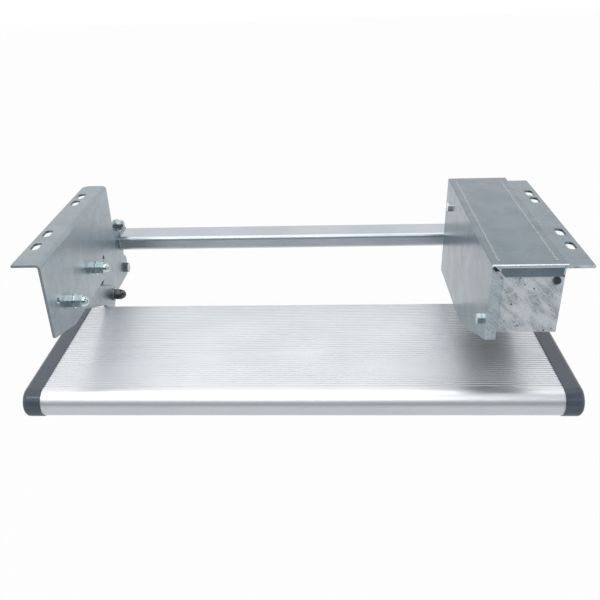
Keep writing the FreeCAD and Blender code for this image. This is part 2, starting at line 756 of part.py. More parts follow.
def bush(label, side, start, shoulder, finish, centre):
    """A turned bush: a wide collar to the shoulder, then the sleeve that an arm turns on."""
    parts = [rod(label + "_sleeve", side, start, finish, centre, "bush_outer / 2")]
    if shoulder != start:
        parts.append(rod(label + "_collar", side, start, shoulder, centre, "collar_outer / 2"))
    solid = joined(label + "_body", parts) if len(parts) > 1 else parts[0]
    bore = rod(label + "_bore", side, f"{start} - 1", f"{finish} + 1", centre, "bolt / 2 + thread_clearance")
    return without(label, solid, [bore])


def inward_screw(label, side, seat, tip, centre):
    """A small hexagon screw whose head faces the middle."""
    cap = hexagon(label + "_head", side, f"{seat} - small_head", seat, centre, "small_flats")
    shank = rod(label + "_shank", side, f"{seat} - small_head / 2", tip, centre, "small_bolt / 2")
    return joined(label, [cap, shank])


INNER_WASHER = f"({PLATE_IN} - thin_nut - washer)"
COVER_SCREW_TIP = f"({COVER_IN} + 2 * small_head)"
LUG_FACE = f"({PLATE_IN} - lug_deep)"
BOLT_TIP = f"({INNER_WASHER} - dome_thread)"
HANGER_NUT = f"({HANGER_IN} - washer - nut)"


def frame_fasteners():
    front = FRONT_PIVOT
    rear = REAR_PIVOT
    group("pivot_bushes", [bush("bush_a", -1, PLATE_OUT, COLLAR_END, HANGER_IN, front)]
          + both_sides(bush, ("bush_b", PLATE_OUT, HANGER_OUT, REAR_STACK_OUT, rear)))
    group("pivot_bolts", [hex_bolt("bolt_a", -1, f"({HANGER_IN} + washer)", BOLT_TIP, front)]
          + both_sides(hex_bolt, ("bolt_b", f"({REAR_STACK_OUT} + washer)", BOLT_TIP, rear)))
    group("pivot_washers", [flat_washer("washer_a", -1, HANGER_IN, front),
                            flat_washer("washer_a_in", -1, INNER_WASHER, front)]
          + both_sides(flat_washer, ("washer_b", REAR_STACK_OUT, rear), ("washer_b_in", INNER_WASHER, rear)))
    group("pivot_nuts", [hex_nut("nut_a", -1, f"({PLATE_IN} - thin_nut)", PLATE_IN, front)]
          + both_sides(hex_nut, ("nut_b", f"({PLATE_IN} - thin_nut)", PLATE_IN, rear)))
    group("pivot_dome_nuts", [dome_nut("dome_a", -1, INNER_WASHER, front)]
          + both_sides(dome_nut, ("dome_b", INNER_WASHER, rear)))
    group("cover_screws", [inward_screw(f"cover_screw_{place}", 1, COVER_IN, COVER_SCREW_TIP, spot)
                           for place, spot in enumerate(cover_screw_spots(), start=1)])
    group("gear_case_screws", [inward_screw(f"lug_screw_{place}", 1, LUG_FACE, PLATE_OUT, spot)
                               for place, spot in enumerate(lug_spots(), start=1)])


def link_fasteners():
    front = FRONT_LINK
    rear = REAR_LINK
    inner_seat = f"({COLLAR_END} - washer)"
    nut_seat = f"({HANGER_IN} - washer)"
    rear_nut = f"({REAR_STACK_OUT} + washer)"
    group("link_bushes", both_sides(bush, ("bush_c", COLLAR_END, COLLAR_END, HANGER_IN, front),
                                    ("bush_d", HANGER_OUT, HANGER_OUT, REAR_STACK_OUT, rear)))
    group("link_bolts", both_sides(hex_bolt, ("bolt_c", HANGER_OUT, f"({inner_seat} - dome_thread)", front))
          + both_sides(outward_bolt, ("bolt_d", HANGER_IN, f"({rear_nut} + nut + thread_end)", rear)))
    group("link_washers", both_sides(flat_washer, ("washer_c", inner_seat, front),
                                     ("washer_d", REAR_STACK_OUT, rear)))
    group("link_dome_nuts", both_sides(dome_nut, ("dome_c", inner_seat, front)))
    group("link_nuts", both_sides(hex_nut, ("nut_d", rear_nut, f"({rear_nut} + nut)", rear)))
    group("top_studs", both_sides(rod, ("stud", f"({HANGER_NUT} - thread_end)", HANGER_IN, STUD,
                                        "bolt / 2")))
    group("top_nuts", both_sides(hex_nut, ("stud_nut", HANGER_NUT, nut_seat, STUD)))
    group("top_washers", both_sides(flat_washer, ("stud_washer", nut_seat, STUD)))


def upright(kind, label, side, run, start, height, **sizes):
    piece = doc.addObject(kind, label)
    return bind(piece, Height=height, at_x=f"{side} * {FOOT_BOLT_X}", at_y=run, at_z=start, **sizes)


def tread_fasteners():
    """Bolts whose heads slide in the tread's channels, with nuts under the hangers' feet."""
    bolts = []
    nuts = []
    across = "small_flats / 2 / cos(30)"
    for side in (-1, 1):
        for place, run in enumerate(CHANNELS):
            name = f"{'left' if side < 0 else 'right'}_{place}"
            cap = upright("Part::Prism", f"tread_bolt_head_{name}", side, run, CHAMBER_LOW, "small_head",
                          Circumradius=across)
            shank = upright("Part::Cylinder", f"tread_bolt_shank_{name}", side, run,
                            f"{FOOT_BOTTOM} - small_nut - thread_end",
                            f"{CHAMBER_LOW} - {FOOT_BOTTOM} + small_nut + thread_end + small_head / 2",
                            Radius="small_bolt / 2")
            bolts.append(joined(f"tread_bolt_{name}", [cap, shank]))
            block = upright("Part::Prism", f"tread_nut_block_{name}", side, run, f"{FOOT_BOTTOM} - small_nut",
                            "small_nut", Circumradius=across)
            bore = upright("Part::Cylinder", f"tread_nut_bore_{name}", side, run,
                           f"{FOOT_BOTTOM} - small_nut - 1", "small_nut + 2",
                           Radius="small_bolt / 2 + thread_clearance")
            nuts.append(without(f"tread_nut_{name}", block, [bore]))
    group("tread_bolts", bolts)
    group("tread_nuts", nuts)


# Drive

MOTOR_X = f"({PLATE_IN} - motor_inset)"
MOTOR_Z = "(-pivot_drop + worm_offset)"


def lengthwise(label, start, length, radius, across=MOTOR_X, level=MOTOR_Z):
    """A round piece that lies along Y."""
    piece = doc.addObject("Part::Cylinder", label)
    piece.Placement = Placement(Vector(), Rotation(Vector(1, 0, 0), -90))
    return bind(piece, Radius=radius, Height=length, at_x=across, at_y=start, at_z=level)


def gear_case():
    wheel = rod("gear_case_wheel", 1, f"{PLATE_IN} - gear_deep", PLATE_IN, FRONT_PIVOT, "gear_radius")
    worm = lengthwise("gear_case_worm", "front_pivot - worm_reach",
                      "motor_start - front_pivot + worm_reach", "worm_radius")
    lugs = [rod(f"gear_case_lug_{place}", 1, f"{PLATE_IN} - lug_deep", PLATE_IN, spot, "lug_radius")
            for place, spot in enumerate(lug_spots())]
    bores = [rod(f"gear_case_bore_{place}", 1, f"{PLATE_IN} - lug_deep - 1", f"{PLATE_IN} + 1", spot,
                 "small_bolt / 2 + thread_clearance") for place, spot in enumerate(lug_spots())]
    bores.append(rod("gear_case_bore", 1, f"{PLATE_IN} - gear_deep - 1", f"{PLATE_IN} + 1", FRONT_PIVOT,
                     "shaft / 2 + run_clearance"))
    bores.append(rod("gear_case_seat", 1, f"{PLATE_IN} - bush_seat", f"{PLATE_IN} + 1", FRONT_PIVOT,
                     "shaft_bush / 2 + thread_clearance"))
    without("gear_case", joined("gear_case_casting", [wheel, worm] + lugs), bores)


def drive():
    gear_case()
    lengthwise("motor_can", "motor_start", "motor_length", "motor_radius")
    lengthwise("motor_end", "motor_start + motor_length", "motor_cap", "motor_radius - 1")
    outer = rod("shaft_bush_outer", 1, f"{PLATE_IN} - bush_seat", PLATE_OUT, FRONT_PIVOT, "shaft_bush / 2")
    bore = rod("shaft_bush_bore", 1, f"{PLATE_IN} - bush_seat - 1", f"{PLATE_OUT} + 1", FRONT_PIVOT,
               "shaft / 2 + run_clearance")
    without("shaft_bush", outer, [bore])
    journal = rod("shaft_journal", 1, f"{PLATE_IN} - gear_deep - thread_end",
                  f"{FRONT_ARM_OUT} - side_gap", FRONT_PIVOT, "shaft / 2")
    shoulder = rod("shaft_shoulder", 1, f"{PLATE_OUT} + side_gap", FRONT_ARM_IN, FRONT_PIVOT,
                   "collar_outer / 2")
    thread = rod("shaft_thread", 1, PLATE_IN, f"{FRONT_ARM_OUT} + washer + nut + thread_end", FRONT_PIVOT,
                 "bolt / 2")
    joined("output_shaft", [journal, shoulder, thread])
    flat_washer("shaft_washer", 1, FRONT_ARM_OUT, FRONT_PIVOT)
    hex_nut("shaft_nut", 1, f"({FRONT_ARM_OUT} + washer)", f"({FRONT_ARM_OUT} + washer + nut)", FRONT_PIVOT)


def grommet():
    """A rubber ring in the rear face, where the supply cable enters."""
    where = {"across": GROMMET[0], "level": GROMMET[1]}
    wall = "(right_rear - gauge)"
    inner = lengthwise("grommet_inner", f"{wall} - gauge", "gauge", "grommet_outer / 2", **where)
    waist = lengthwise("grommet_neck", f"{wall} - gauge", "3 * gauge", "grommet_waist / 2", **where)
    outer = lengthwise("grommet_rim", "right_rear", "gauge", "grommet_outer / 2", **where)
    bore = lengthwise("grommet_hole", f"{wall} - gauge - 1", "3 * gauge + 2", "grommet_bore / 2", **where)
    without("cable_grommet", joined("grommet_ring", [inner, waist, outer]), [bore])


def rivet():
    where = {"across": RIVET[0], "level": RIVET[1]}
    head = lengthwise("rivet_head", "-right_lead - rivet_rise", "rivet_rise", "rivet_head_radius", **where)
    stem = lengthwise("rivet_stem", "-right_lead - rivet_rise / 2", "gauge + rivet_rise", "rivet_stem_radius",
                      **where)
    joined("front_rivet", [head, stem])


NODES = ("left_bracket", "right_bracket", "housing_cover", "cover_screws", "front_rivet", "cable_grommet",
         "pivot_bushes", "pivot_bolts", "pivot_washers", "pivot_nuts", "pivot_dome_nuts",
         "gear_case", "gear_case_screws", "motor_can", "motor_end", "shaft_bush",
         "output_shaft", "shaft_washer", "shaft_nut",
         "left_front_arm", "right_front_arm", "left_rear_arm", "right_rear_arm",
         "left_hanger", "right_hanger", "cross_tube", "top_studs", "top_washers", "top_nuts",
         "link_bushes", "link_bolts", "link_washers", "link_dome_nuts", "link_nuts",
         "tread", "left_end_cap", "right_end_cap", "tread_bolts", "tread_nuts")


def build():
    left_bracket()
    right_bracket()
    housing_cover()
    mirrored("right_front_arm", arm("left_front_arm", FRONT_PIVOT, FRONT_LINK, FRONT_ARM_OUT))
    mirrored("right_rear_arm", arm("left_rear_arm", REAR_PIVOT, REAR_LINK, REAR_ARM_OUT))
    mirrored("right_hanger", left_hanger())
    cross_tube()
    tread()
    mirrored("right_end_cap", left_end_cap())
    frame_fasteners()
    link_fasteners()
    tread_fasteners()
    drive()
    grommet()
    rivet()
    doc.recompute()


def check_and_write():
    for thing in doc.Objects:
        if "Invalid" in thing.State or "Error" in thing.State:
            raise RuntimeError(f"{thing.Label} failed: {thing.State}")
    shapes = {}
    for node in NODES:
        shape = doc.getObject(node).Shape
        if shape.isNull() or not shape.isValid() or not shape.Solids:
            raise RuntimeError(f"{node} has no valid solid")
        shapes[node] = shape
    os.makedirs("parts", exist_ok=True)
    for node, shape in shapes.items():
        shape.exportStep(f"parts/{node}.step")
        print(node, len(shape.Solids), "solids", round(shape.Volume), "mm3")


build()
check_and_write()
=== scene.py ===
# %% [markdown]
# # An electric entry step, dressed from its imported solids
# The step hangs under the floor of a motorhome or a caravan, beside the door. Two folded steel
# brackets carry four arms, the arms carry a ribbed aluminium tread, and a motor in the boxed
# bracket swings it out. Every solid is already at its real size and place, so this script gives
# each piece the finish of the real one, adds the weld beads and threads that are too fine for the
# solids, and sets up a studio and a camera.

import math

import bmesh
import bpy
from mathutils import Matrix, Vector


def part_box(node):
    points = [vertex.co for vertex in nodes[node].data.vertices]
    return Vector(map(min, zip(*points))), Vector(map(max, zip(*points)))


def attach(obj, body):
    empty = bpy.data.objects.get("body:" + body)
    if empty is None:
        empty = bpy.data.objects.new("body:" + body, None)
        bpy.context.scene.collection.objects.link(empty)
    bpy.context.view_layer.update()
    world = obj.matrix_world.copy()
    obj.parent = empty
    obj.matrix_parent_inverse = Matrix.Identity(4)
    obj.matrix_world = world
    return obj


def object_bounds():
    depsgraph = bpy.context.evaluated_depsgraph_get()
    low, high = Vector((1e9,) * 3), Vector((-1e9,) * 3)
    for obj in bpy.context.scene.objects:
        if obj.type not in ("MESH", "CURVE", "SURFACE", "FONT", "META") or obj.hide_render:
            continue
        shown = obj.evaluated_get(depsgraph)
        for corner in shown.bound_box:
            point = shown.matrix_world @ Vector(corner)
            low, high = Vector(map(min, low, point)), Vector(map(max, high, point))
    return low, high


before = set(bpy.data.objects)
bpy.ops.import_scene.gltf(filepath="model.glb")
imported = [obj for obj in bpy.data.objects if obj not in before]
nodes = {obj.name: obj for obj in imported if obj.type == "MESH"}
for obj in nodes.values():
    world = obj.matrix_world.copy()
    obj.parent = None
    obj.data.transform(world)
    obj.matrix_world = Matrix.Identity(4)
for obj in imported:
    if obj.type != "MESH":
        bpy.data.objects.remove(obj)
solid_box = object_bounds()
scene = bpy.context.scene
print("solids:", len(nodes), "box:", [[round(value, 4) for value in corner] for corner in solid_box])

# %% [markdown]
# ## Three small helpers
# Colours are picked as sRGB hex values, the way a paint chart gives them, and shaders work in
# linear light, so one function turns one into the other. A shader is a graph, and one function
# adds a node with its settings and links, which keeps each recipe readable from top to bottom.
# Inputs are named where their names differ and numbered where they share one. Map Range takes its
# value as 0, the span that it comes from as 1 and 2, and the span that it goes to as 3 and 4. Mix
# takes its share as 0, two plain numbers as 2 and 3 or two colours as 6 and 7, and gives a mixed
# colour as output 2. The third function opens a new material and sets its shader's plain inputs.

# %% Helpers for colours, nodes and materials
MM = 0.001


def tone(code):
    """Linear colour of an sRGB hex value."""
    parts = [int(code[start:start + 2], 16) / 255 for start in (1, 3, 5)]
    linear = [part / 12.92 if part <= 0.04045 else ((part + 0.055) / 1.055) ** 2.4 for part in parts]
    return (*linear, 1.0)


def add(tree, kind, links=None, **settings):
    """Add a node. links sets its inputs, by name or number, to a value or to another node's output."""
    made = tree.nodes.new(kind)
    for name, value in settings.items():
        setattr(made, name, value)
    for name, value in (links or {}).items():
        if isinstance(value, bpy.types.NodeSocket):
            tree.links.new(value, made.inputs[name])
        else:
            made.inputs[name].default_value = value
    return made


def new_finish(name, **inputs):
    """A material, its tree, its shader and the object's own coordinates in metres."""
    material = bpy.data.materials.new(name)
    material.use_nodes = True
    tree = material.node_tree
    shader = tree.nodes["Principled BSDF"]
    for socket, value in inputs.items():
        shader.inputs[socket.replace("_", " ")].default_value = value
    place = add(tree, "ShaderNodeTexCoord").outputs["Object"]
    return material, tree, shader, place


print("half grey in linear light:", round(tone("#808080")[0], 3))

# %% [markdown]
# ## Patterns that the metals share
# Rolled, drawn and extruded metal all show fine lines the way the metal ran. Noise stretched along
# that direction gives them: the Mapping node in texture mode divides the place by a real size, so
# one unit of noise is as long and as wide as that size. A folded sheet keeps its lines across the
# fold, so its pattern is laid out flat first: the way down a side carries on from the way over the
# top. The Bevel node gives a normal that is rounded off near an edge. Where it parts from the true
# normal by more than about ten degrees there is an edge. Edges are where handling shows, and on the
# cover they carry a painted highlight.

# %% Patterns: stretched lines, a sheet laid flat, and edges for wear and painted highlights
def stretched(tree, place, size, turn=(0, 0, 0), detail=3.0):
    """Noise whose lumps have the given size in metres, after turning the pattern."""
    spot = add(tree, "ShaderNodeMapping", {"Vector": place, "Rotation": turn, "Scale": size},
               vector_type="TEXTURE").outputs["Vector"]
    return add(tree, "ShaderNodeTexNoise", {"Vector": spot, "Scale": 1.0, "Detail": detail}).outputs["Fac"]


def laid_flat(tree, place):
    """Places on a folded sheet: Y along it, and outward X plus Z across it and round the fold."""
    split = add(tree, "ShaderNodeSeparateXYZ", {"Vector": place})
    outward = add(tree, "ShaderNodeMath", {0: split.outputs["X"]}, operation="ABSOLUTE").outputs[0]
    across = add(tree, "ShaderNodeMath", {0: outward, 1: split.outputs["Z"]}, operation="ADD").outputs[0]
    return add(tree, "ShaderNodeCombineXYZ", {"X": across, "Y": split.outputs["Y"]}).outputs[0]


def wear_and_highlight_edges(tree, width):
    """1 along the edges of the metal and 0 on its flat faces."""
    soft = add(tree, "ShaderNodeBevel", {"Radius": width}, samples=4).outputs["Normal"]
    hard = add(tree, "ShaderNodeNewGeometry").outputs["Normal"]
    match = add(tree, "ShaderNodeVectorMath", {0: soft, 1: hard}, operation="DOT_PRODUCT").outputs["Value"]
    return add(tree, "ShaderNodeMapRange", {0: match, 1: 0.98, 2: 0.80}).outputs[0]


print("patterns ready: stretched lines, a sheet laid flat, worn edges")

# %% [markdown]
# ## Two tones and two glosses
# On a real surface, what changes the colour a little changes the gloss too. So each finish below
# lets one pattern drive both, over a span of its values, and lays special places over that, such
# as a brown cut edge or a painted highlight.

# %% Colour and gloss that follow a pattern
def two_tones(tree, shader, pattern, span, first, second):
    """Base colour that goes from the first to the second while the pattern crosses a span."""
    shade = add(tree, "ShaderNodeMapRange", {0: pattern, 1: span[0], 2: span[1]}).outputs[0]
    colour = add(tree, "ShaderNodeMix", {0: shade, 6: tone(first), 7: tone(second)}, data_type="RGBA")
    tree.links.new(colour.outputs[2], shader.inputs["Base Color"])


def two_glosses(tree, shader, pattern, span, first, second):
    """Roughness that goes from the first to the second while the pattern crosses a span."""
    rough = add(tree, "ShaderNodeMapRange", {0: pattern, 1: span[0], 2: span[1], 3: first, 4: second})
    tree.links.new(rough.outputs[0], shader.inputs["Roughness"])


def lay_over(tree, shader, mask, colour):
    """Put a colour over the base colour where the mask is 1."""
    below = shader.inputs["Base Color"].links[0].from_socket
    mixed = add(tree, "ShaderNodeMix", {0: mask, 6: below, 7: colour}, data_type="RGBA")
    tree.links.new(mixed.outputs[2], shader.inputs["Base Color"])


print("recipes ready: two tones, two glosses, a colour laid over")

# %% [markdown]
# ## The camera
# The camera stands where the photographer did: 60 cm in front, above the tread and a little to the
# right of the middle. Its place, turn and lens came from matching the corners of the brackets and
# the ends of the tread, and the small shift covers a picture that was cropped off its centre.

# %% The camera
CAMERA_PLACE = (0.0278, -0.6086, 0.275)
CAMERA_TURN = (61.08, 1.883, 2.541)
LENS = 42.2
SENSOR_WIDTH = 36.0
SHIFT = (0.0245, 0.0323)

camera = bpy.data.objects.new("camera", bpy.data.cameras.new("camera"))
scene.collection.objects.link(camera)
camera.location = CAMERA_PLACE
camera.data.lens = LENS
camera.data.sensor_width = SENSOR_WIDTH
camera.data.shift_x, camera.data.shift_y = SHIFT
camera.data.clip_start = 10 * MM
scene.camera = camera

# A camera looks down its own -Z, so a turn of 90 degrees about X would look straight along +Y.
camera.rotation_euler = [math.radians(angle) for angle in CAMERA_TURN]
bpy.context.view_layer.update()
looks_along = camera.matrix_world.to_3x3() @ Vector((0, 0, -1))
print("camera looks along", [round(value, 3) for value in looks_along])

# %% [markdown]
# ## The white floor and the world
# The photograph is a cut-out on white. A pale floor and a pale world do that: both are plain white
# to the camera and to mirror-like rays, so they look bright without lighting the step any more,
# and the floor keeps a soft shadow.

# %% The white floor and the world
FLOOR_LEVEL = solid_box[0][2] - 0.30
FLOOR_SIZE = 12
WHITE_SHARE = 0.97
AMBIENT = 0.42
LEVEL = (0, 0, 0)
scene.view_settings.view_transform = "Standard"


def seen_or_mirrored(tree):
    """1 for rays from the camera and for rays that metal or glass sends on."""
    path = add(tree, "ShaderNodeLightPath").outputs
    first = add(tree, "ShaderNodeMath", {0: path["Is Camera Ray"], 1: path["Is Glossy Ray"]},
                operation="MAXIMUM").outputs[0]
    return add(tree, "ShaderNodeMath", {0: first, 1: path["Is Transmission Ray"]},
               operation="MAXIMUM").outputs[0]


def panel(name, centre, width, height, turn, material):
    """A flat panel of the studio, which faces its own +Z."""
    corners = [(-width / 2, -height / 2, 0), (width / 2, -height / 2, 0),
               (width / 2, height / 2, 0), (-width / 2, height / 2, 0)]
    mesh = bpy.data.meshes.new(name)
    mesh.from_pydata(corners, [], [(0, 1, 2, 3)])
    mesh.materials.append(material)
    made = bpy.data.objects.new(name, mesh)
    scene.collection.objects.link(made)
    made.location = centre
    made.rotation_euler = turn
    return made


paper, tree, shader, _ = new_finish("white_studio_paper", Base_Color=tone("#F4F5F6"), Roughness=0.9)
white = add(tree, "ShaderNodeEmission", {"Color": (1, 1, 1, 1), "Strength": 1.0}).outputs[0]
share = add(tree, "ShaderNodeMath", {0: seen_or_mirrored(tree), 1: WHITE_SHARE}, operation="MULTIPLY")
mixed = add(tree, "ShaderNodeMixShader", {0: share.outputs[0], 1: shader.outputs[0], 2: white})
tree.links.new(mixed.outputs[0], tree.nodes["Material Output"].inputs["Surface"])
panel("studio_floor", (0, 0.8, FLOOR_LEVEL), FLOOR_SIZE, FLOOR_SIZE, LEVEL, paper)

world = bpy.data.worlds.new("studio")
scene.world = world
world.use_nodes = True
tree = world.node_tree
dim = tree.nodes["Background"]
dim.inputs["Color"].default_value = tone("#EEF2F6")
dim.inputs["Strength"].default_value = AMBIENT
plain = add(tree, "ShaderNodeBackground", {"Color": (1, 1, 1, 1), "Strength": 1.0})
mixed = add(tree, "ShaderNodeMixShader", {0: seen_or_mirrored(tree), 1: dim.outputs[0], 2: plain.outputs[0]})
tree.links.new(mixed.outputs[0], tree.nodes["World Output"].inputs["Surface"])
print("floor level in metres:", round(FLOOR_LEVEL, 3))

# %% [markdown]
# ## The lamps
# Bright metal looks like what it reflects, so the lamps are long flat boxes, and each has a place
# in a reflection: the one high in front draws the white band along the tread's nose and lights the
# cover's fold, whose bright line is also painted in, and the one overhead fills the top faces.

# %% The lamps
AIM = Vector((0, 0.05, -0.1))


def soft_lamp(name, place, width, height, watts):
    """A flat lamp that faces the step and stays out of the picture."""
    lamp = bpy.data.lights.new(name, "AREA")
    lamp.shape = "RECTANGLE"
    lamp.size, lamp.size_y = width, height
    lamp.energy = watts
    holder = bpy.data.objects.new(name, lamp)
    scene.collection.objects.link(holder)
    holder.location = place
    holder.rotation_euler = (AIM - Vector(place)).to_track_quat("-Z", "Y").to_euler()
    holder.visible_camera = False
    return holder


lamps = [soft_lamp("overhead_lamp", (0.0, 0.10, 1.35), 1.5, 0.7, 5.5),
         soft_lamp("front_lamp", (-0.28, -0.95, 1.15), 1.5, 0.30, 5.5)]
print("lamps:", [lamp.name for lamp in lamps])

# %% [markdown]
# ## Grey boards in front
# A real studio stands grey boards in front of bright metal, out of the picture, so that its round
# faces show a shape. Here a dark one stands upright and makes the narrow dark line along the nose,
# a paler one lies on the floor and makes the grey below that line, and one high on the right is
# what the housing's top mirrors. Only mirror-like rays meet them: the camera, the shadows and the
# soft light don't.

# %% The grey boards
UPRIGHT = (math.pi / 2, 0, math.pi)
TILTED = (math.radians(20), 0, 0)

# Each board's name, middle, width and height in metres, turn and grey.
BOARDS = [("low_grey_board", (0, -1.22, FLOOR_LEVEL + 10 * MM), 6, 2.7, LEVEL, "#C4C9CC"),
          ("room_grey_board", (0, -2.6, 0.47), 7, 1.96, UPRIGHT, "#676E73"),
          ("side_grey_board", (1.22, -0.55, 1.45), 1.5, 1.8, TILTED, "#9AA2A8")]


def glow(name, colour):
    """A material that shines with one even tone in reflections."""
    material = bpy.data.materials.new(name)
    material.use_nodes = True
    tree = material.node_tree
    tree.nodes.remove(tree.nodes["Principled BSDF"])
    shine = add(tree, "ShaderNodeEmission", {"Color": tone(colour), "Strength": 1.0})
    tree.links.new(shine.outputs[0], tree.nodes["Material Output"].inputs["Surface"])
    return material


for name, centre, width, height, turn, grey in BOARDS:
    board = panel(name, centre, width, height, turn, glow(name, grey))
    board.visible_camera = False
    board.visible_diffuse = False
    board.visible_shadow = False
    board.visible_transmission = False
print("boards:", [name for name, *_ in BOARDS])

# %% [markdown]
# ## Galvanised sheet
# The brackets, arms and hangers are cold-rolled steel with a thin zinc coat, cut and folded after
# coating. It is a grey metal with a satin face that still mirrors a bright tube or nut beside it.
# The rolling leaves fine lines, the zinc shows weak crystals a few millimetres wide, and the cut
# edges lack zinc and go a little brown. On the cover the edge colour is a painted highlight
# instead: a bright line along every edge and bead, all the way along. Metallic is 1 and the base
# colour is the reflection's colour, as for every bare metal here.

# %% Galvanised sheet
ROLLED_LINE = (110 * MM, 1.2 * MM, 1)
SHEET_CLOUD = (26 * MM, 26 * MM, 26 * MM)
EDGE_WIDTH = 0.7 * MM
# Brown is the real colour of bare cut edges; the pale one is a painted highlight for the cover's edges and
# beads.
BROWN_EDGE, PAINTED_EDGE_HIGHLIGHT = "#6F675F", "#E4E9EB"


def galvanised(name, light, dark, roughness, crystal_size,
               edge_colour=BROWN_EDGE, wear_and_highlight_from=0.35, fold=0.7 * MM):
    """Rolled sheet with lines round its folds, weak crystals, and edges of their own colour: brown cut
    edges, or a painted highlight.
    """
    material, tree, shader, place = new_finish(name, Metallic=1.0)
    lines = stretched(tree, laid_flat(tree, place), ROLLED_LINE)
    cloud = stretched(tree, place, SHEET_CLOUD, detail=5.0)
    cells = add(tree, "ShaderNodeTexVoronoi", {"Vector": place, "Scale": 1 / crystal_size})
    crystals = add(tree, "ShaderNodeRGBToBW", {0: cells.outputs["Color"]}).outputs[0]
    total = add(tree, "ShaderNodeMath", {0: lines, 1: cloud}, operation="ADD").outputs[0]
    total = add(tree, "ShaderNodeMath", {0: crystals, 1: 0.25, 2: total},
                operation="MULTIPLY_ADD").outputs[0]
    two_tones(tree, shader, total, (0.75, 1.55), dark, light)
    two_glosses(tree, shader, total, (0.7, 1.7), roughness + 0.05, roughness - 0.05)

    # Where the start is 0, as on the cover, the edge colour lies on every edge as a painted highlight;
    # elsewhere it marks brown cut edges where the cloud allows.
    wear_and_highlight_cloud = add(tree, "ShaderNodeMapRange", {0: cloud, 1: wear_and_highlight_from, 2: wear_and_highlight_from + 0.25}).outputs[0]
    edge_wear_and_highlight = add(tree, "ShaderNodeMath", {0: wear_and_highlight_edges(tree, EDGE_WIDTH), 1: wear_and_highlight_cloud}, operation="MULTIPLY")
    lay_over(tree, shader, edge_wear_and_highlight.outputs[0], tone(edge_colour))

    soft = add(tree, "ShaderNodeBevel", {"Radius": fold}, samples=4).outputs["Normal"]
    ridge = add(tree, "ShaderNodeBump", {"Strength": 0.08, "Distance": 0.08 * MM, "Height": lines,
                                         "Normal": soft}).outputs[0]
    flakes = add(tree, "ShaderNodeBump", {"Strength": 0.04, "Distance": 0.15 * MM, "Height": crystals,
                                          "Normal": ridge})
    tree.links.new(flakes.outputs[0], shader.inputs["Normal"])
    return material


zinc_sheet = galvanised("galvanised_sheet_satin", "#A5AEB4", "#8D989F", 0.31, 6 * MM)
cover_sheet = galvanised("zinc_coated_cover_sheet", "#89959D", "#738089", 0.23, 9 * MM,
                         edge_colour=PAINTED_EDGE_HIGHLIGHT, wear_and_highlight_from=0.0, fold=1.0 * MM)
bar_sheet = galvanised("galvanised_bar", "#A8B0B5", "#848F97", 0.36, 4 * MM)
boxed_sheet = galvanised("galvanised_sheet_scratched", "#929DA4", "#7F8B93", 0.26, 6 * MM)
print("galvanised sheets:", [sheet.name for sheet in (zinc_sheet, cover_sheet, bar_sheet, boxed_sheet)])

# %% [markdown]
# ## The painted highlight on the fold
# A press folds the cover's front edge down. The bright line along that fold stands for the light
# from above and is painted in, as a near-white metal colour. The fold belongs to a larger piece, so a
# mask picks it by place: all that lies in front of one plane and above another. The same is done for
# the pale front faces further down, so one function opens a finished material again and hands out
# its coordinates.

# %% The painted highlight on the fold
FOLD_REACH = 1.9 * MM
FOLD_LEVEL = -0.6 * MM
FOLD_HIGHLIGHT_COLOUR = "#E6E8EE"
MASK_BLUR = 0.5 * MM


def reopened(material):
    """A finished material's tree and shader, the object's own coordinates, and their X, Y and Z."""
    tree = material.node_tree
    place = next(item for item in tree.nodes if item.bl_idname == "ShaderNodeTexCoord").outputs["Object"]
    split = add(tree, "ShaderNodeSeparateXYZ", {"Vector": place}).outputs
    return tree, tree.nodes["Principled BSDF"], place, split


def painted_fold_highlight(material, depth, level):
    """A painted highlight: near-white metal colour in front of a depth and above a level."""
    tree, shader, _, split = reopened(material)
    front = add(tree, "ShaderNodeMapRange", {0: split["Y"], 1: depth + MASK_BLUR, 2: depth}).outputs[0]
    above = add(tree, "ShaderNodeMapRange", {0: split["Z"], 1: level - MASK_BLUR, 2: level}).outputs[0]
    fold = add(tree, "ShaderNodeMath", {0: front, 1: above}, operation="MULTIPLY").outputs[0]
    lay_over(tree, shader, fold, tone(FOLD_HIGHLIGHT_COLOUR))


# The fold's bright line is a painted highlight that stands for the light from above.
painted_fold_highlight(cover_sheet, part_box("housing_cover")[0].y + FOLD_REACH, FOLD_LEVEL)
print("fold burnished above", FOLD_LEVEL / MM, "mm")

# %% [markdown]
# ## Scratches and specks
# The housing's front has been dragged over a bench and stood in the damp. Scratches are thin
# slices through stretched noise, each set at its own angle, and they bend a little because the
# places are pushed about by softer noise first. Specks sit in the middle of Voronoi cells, but only
# of the few cells whose random colour is bright.

# %% Scratches and specks
# Each set's angle in degrees, width in millimetres, and the noise above which it shows.
SCRATCHES = [(48, 1.0, 0.57), (-42, 1.2, 0.59), (66, 0.8, 0.58), (-12, 1.3, 0.63), (33, 0.9, 0.60)]
SCRATCH_LENGTH = 26 * MM
WAVES_PER_METRE = 45.0
WAVE_DEPTH = 6 * MM
SPECK_CELLS_PER_METRE = 130.0


def bent_places(tree, place):
    """The places, pushed about by a few millimetres in X and Z."""
    bend = add(tree, "ShaderNodeTexNoise", {"Vector": place, "Scale": WAVES_PER_METRE, "Detail": 2.0})
    return add(tree, "ShaderNodeVectorMath", {0: bend.outputs["Color"], 1: (WAVE_DEPTH, 0, WAVE_DEPTH),
                                              2: place}, operation="MULTIPLY_ADD").outputs[0]


